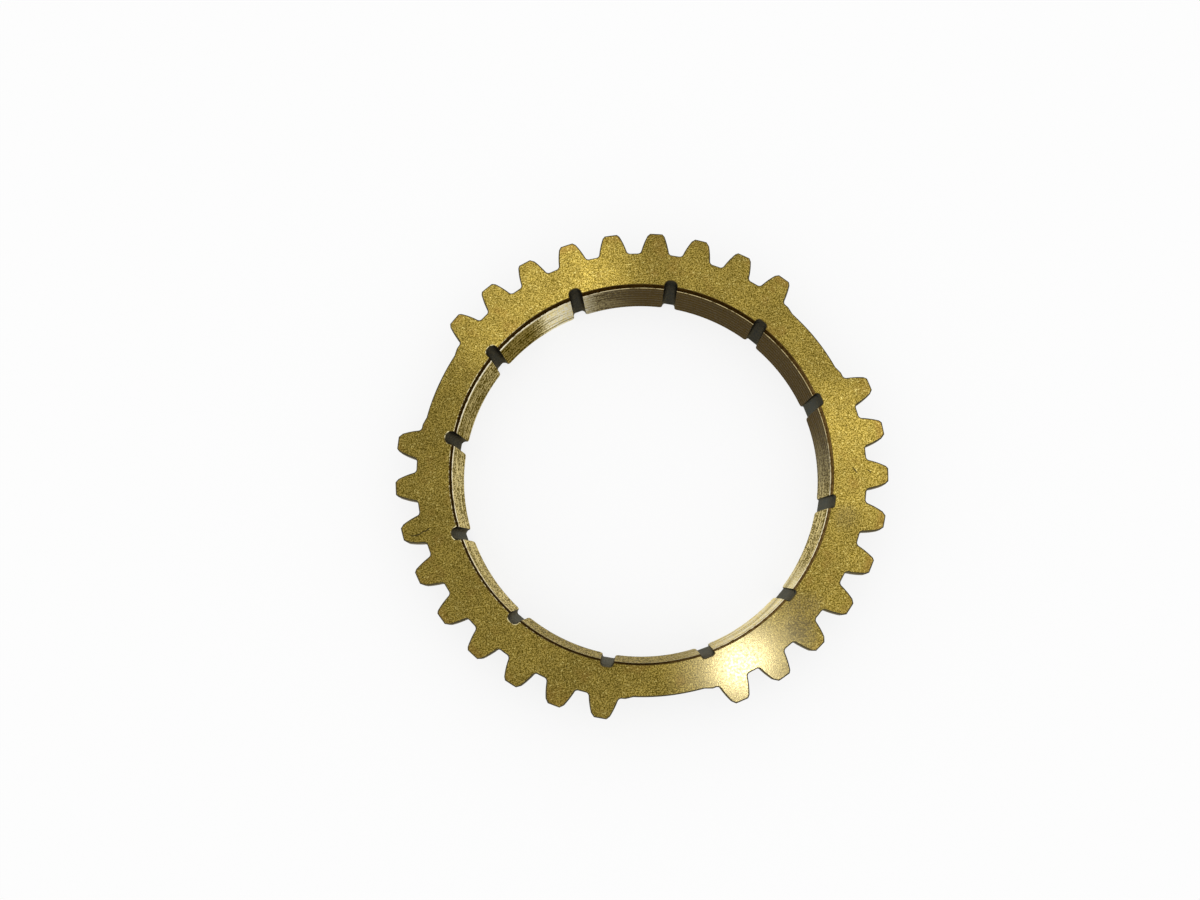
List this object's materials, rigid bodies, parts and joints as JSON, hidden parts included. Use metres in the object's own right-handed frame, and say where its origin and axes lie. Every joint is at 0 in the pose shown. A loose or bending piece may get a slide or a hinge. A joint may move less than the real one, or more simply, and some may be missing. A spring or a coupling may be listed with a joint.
{
  "type": "synchronizer ring",
  "caption": "Toothed brass blocker ring with a tapered, threaded friction bore, oil grooves, gaps in the teeth and key slots in a short collar.",
  "frame": {"origin": "on the ring's axis, in the plane of the small end of the friction cone, which is the face that the ring rests on", "axes": "+Z along the axis, from the small end to the side that faces the gear; a tooth stands on +Y and a key gap is centred on -Y"},
  "size_m": [0.078, 0.0767, 0.0092],
  "materials": {
    "ring_brass": "satin machined face with a fine grain, brighter turned cone, dark forged grooves"
  },
  "bodies": {
    "root": {"synchro_ring": "ring_brass"}
  },
  "joints": []
}
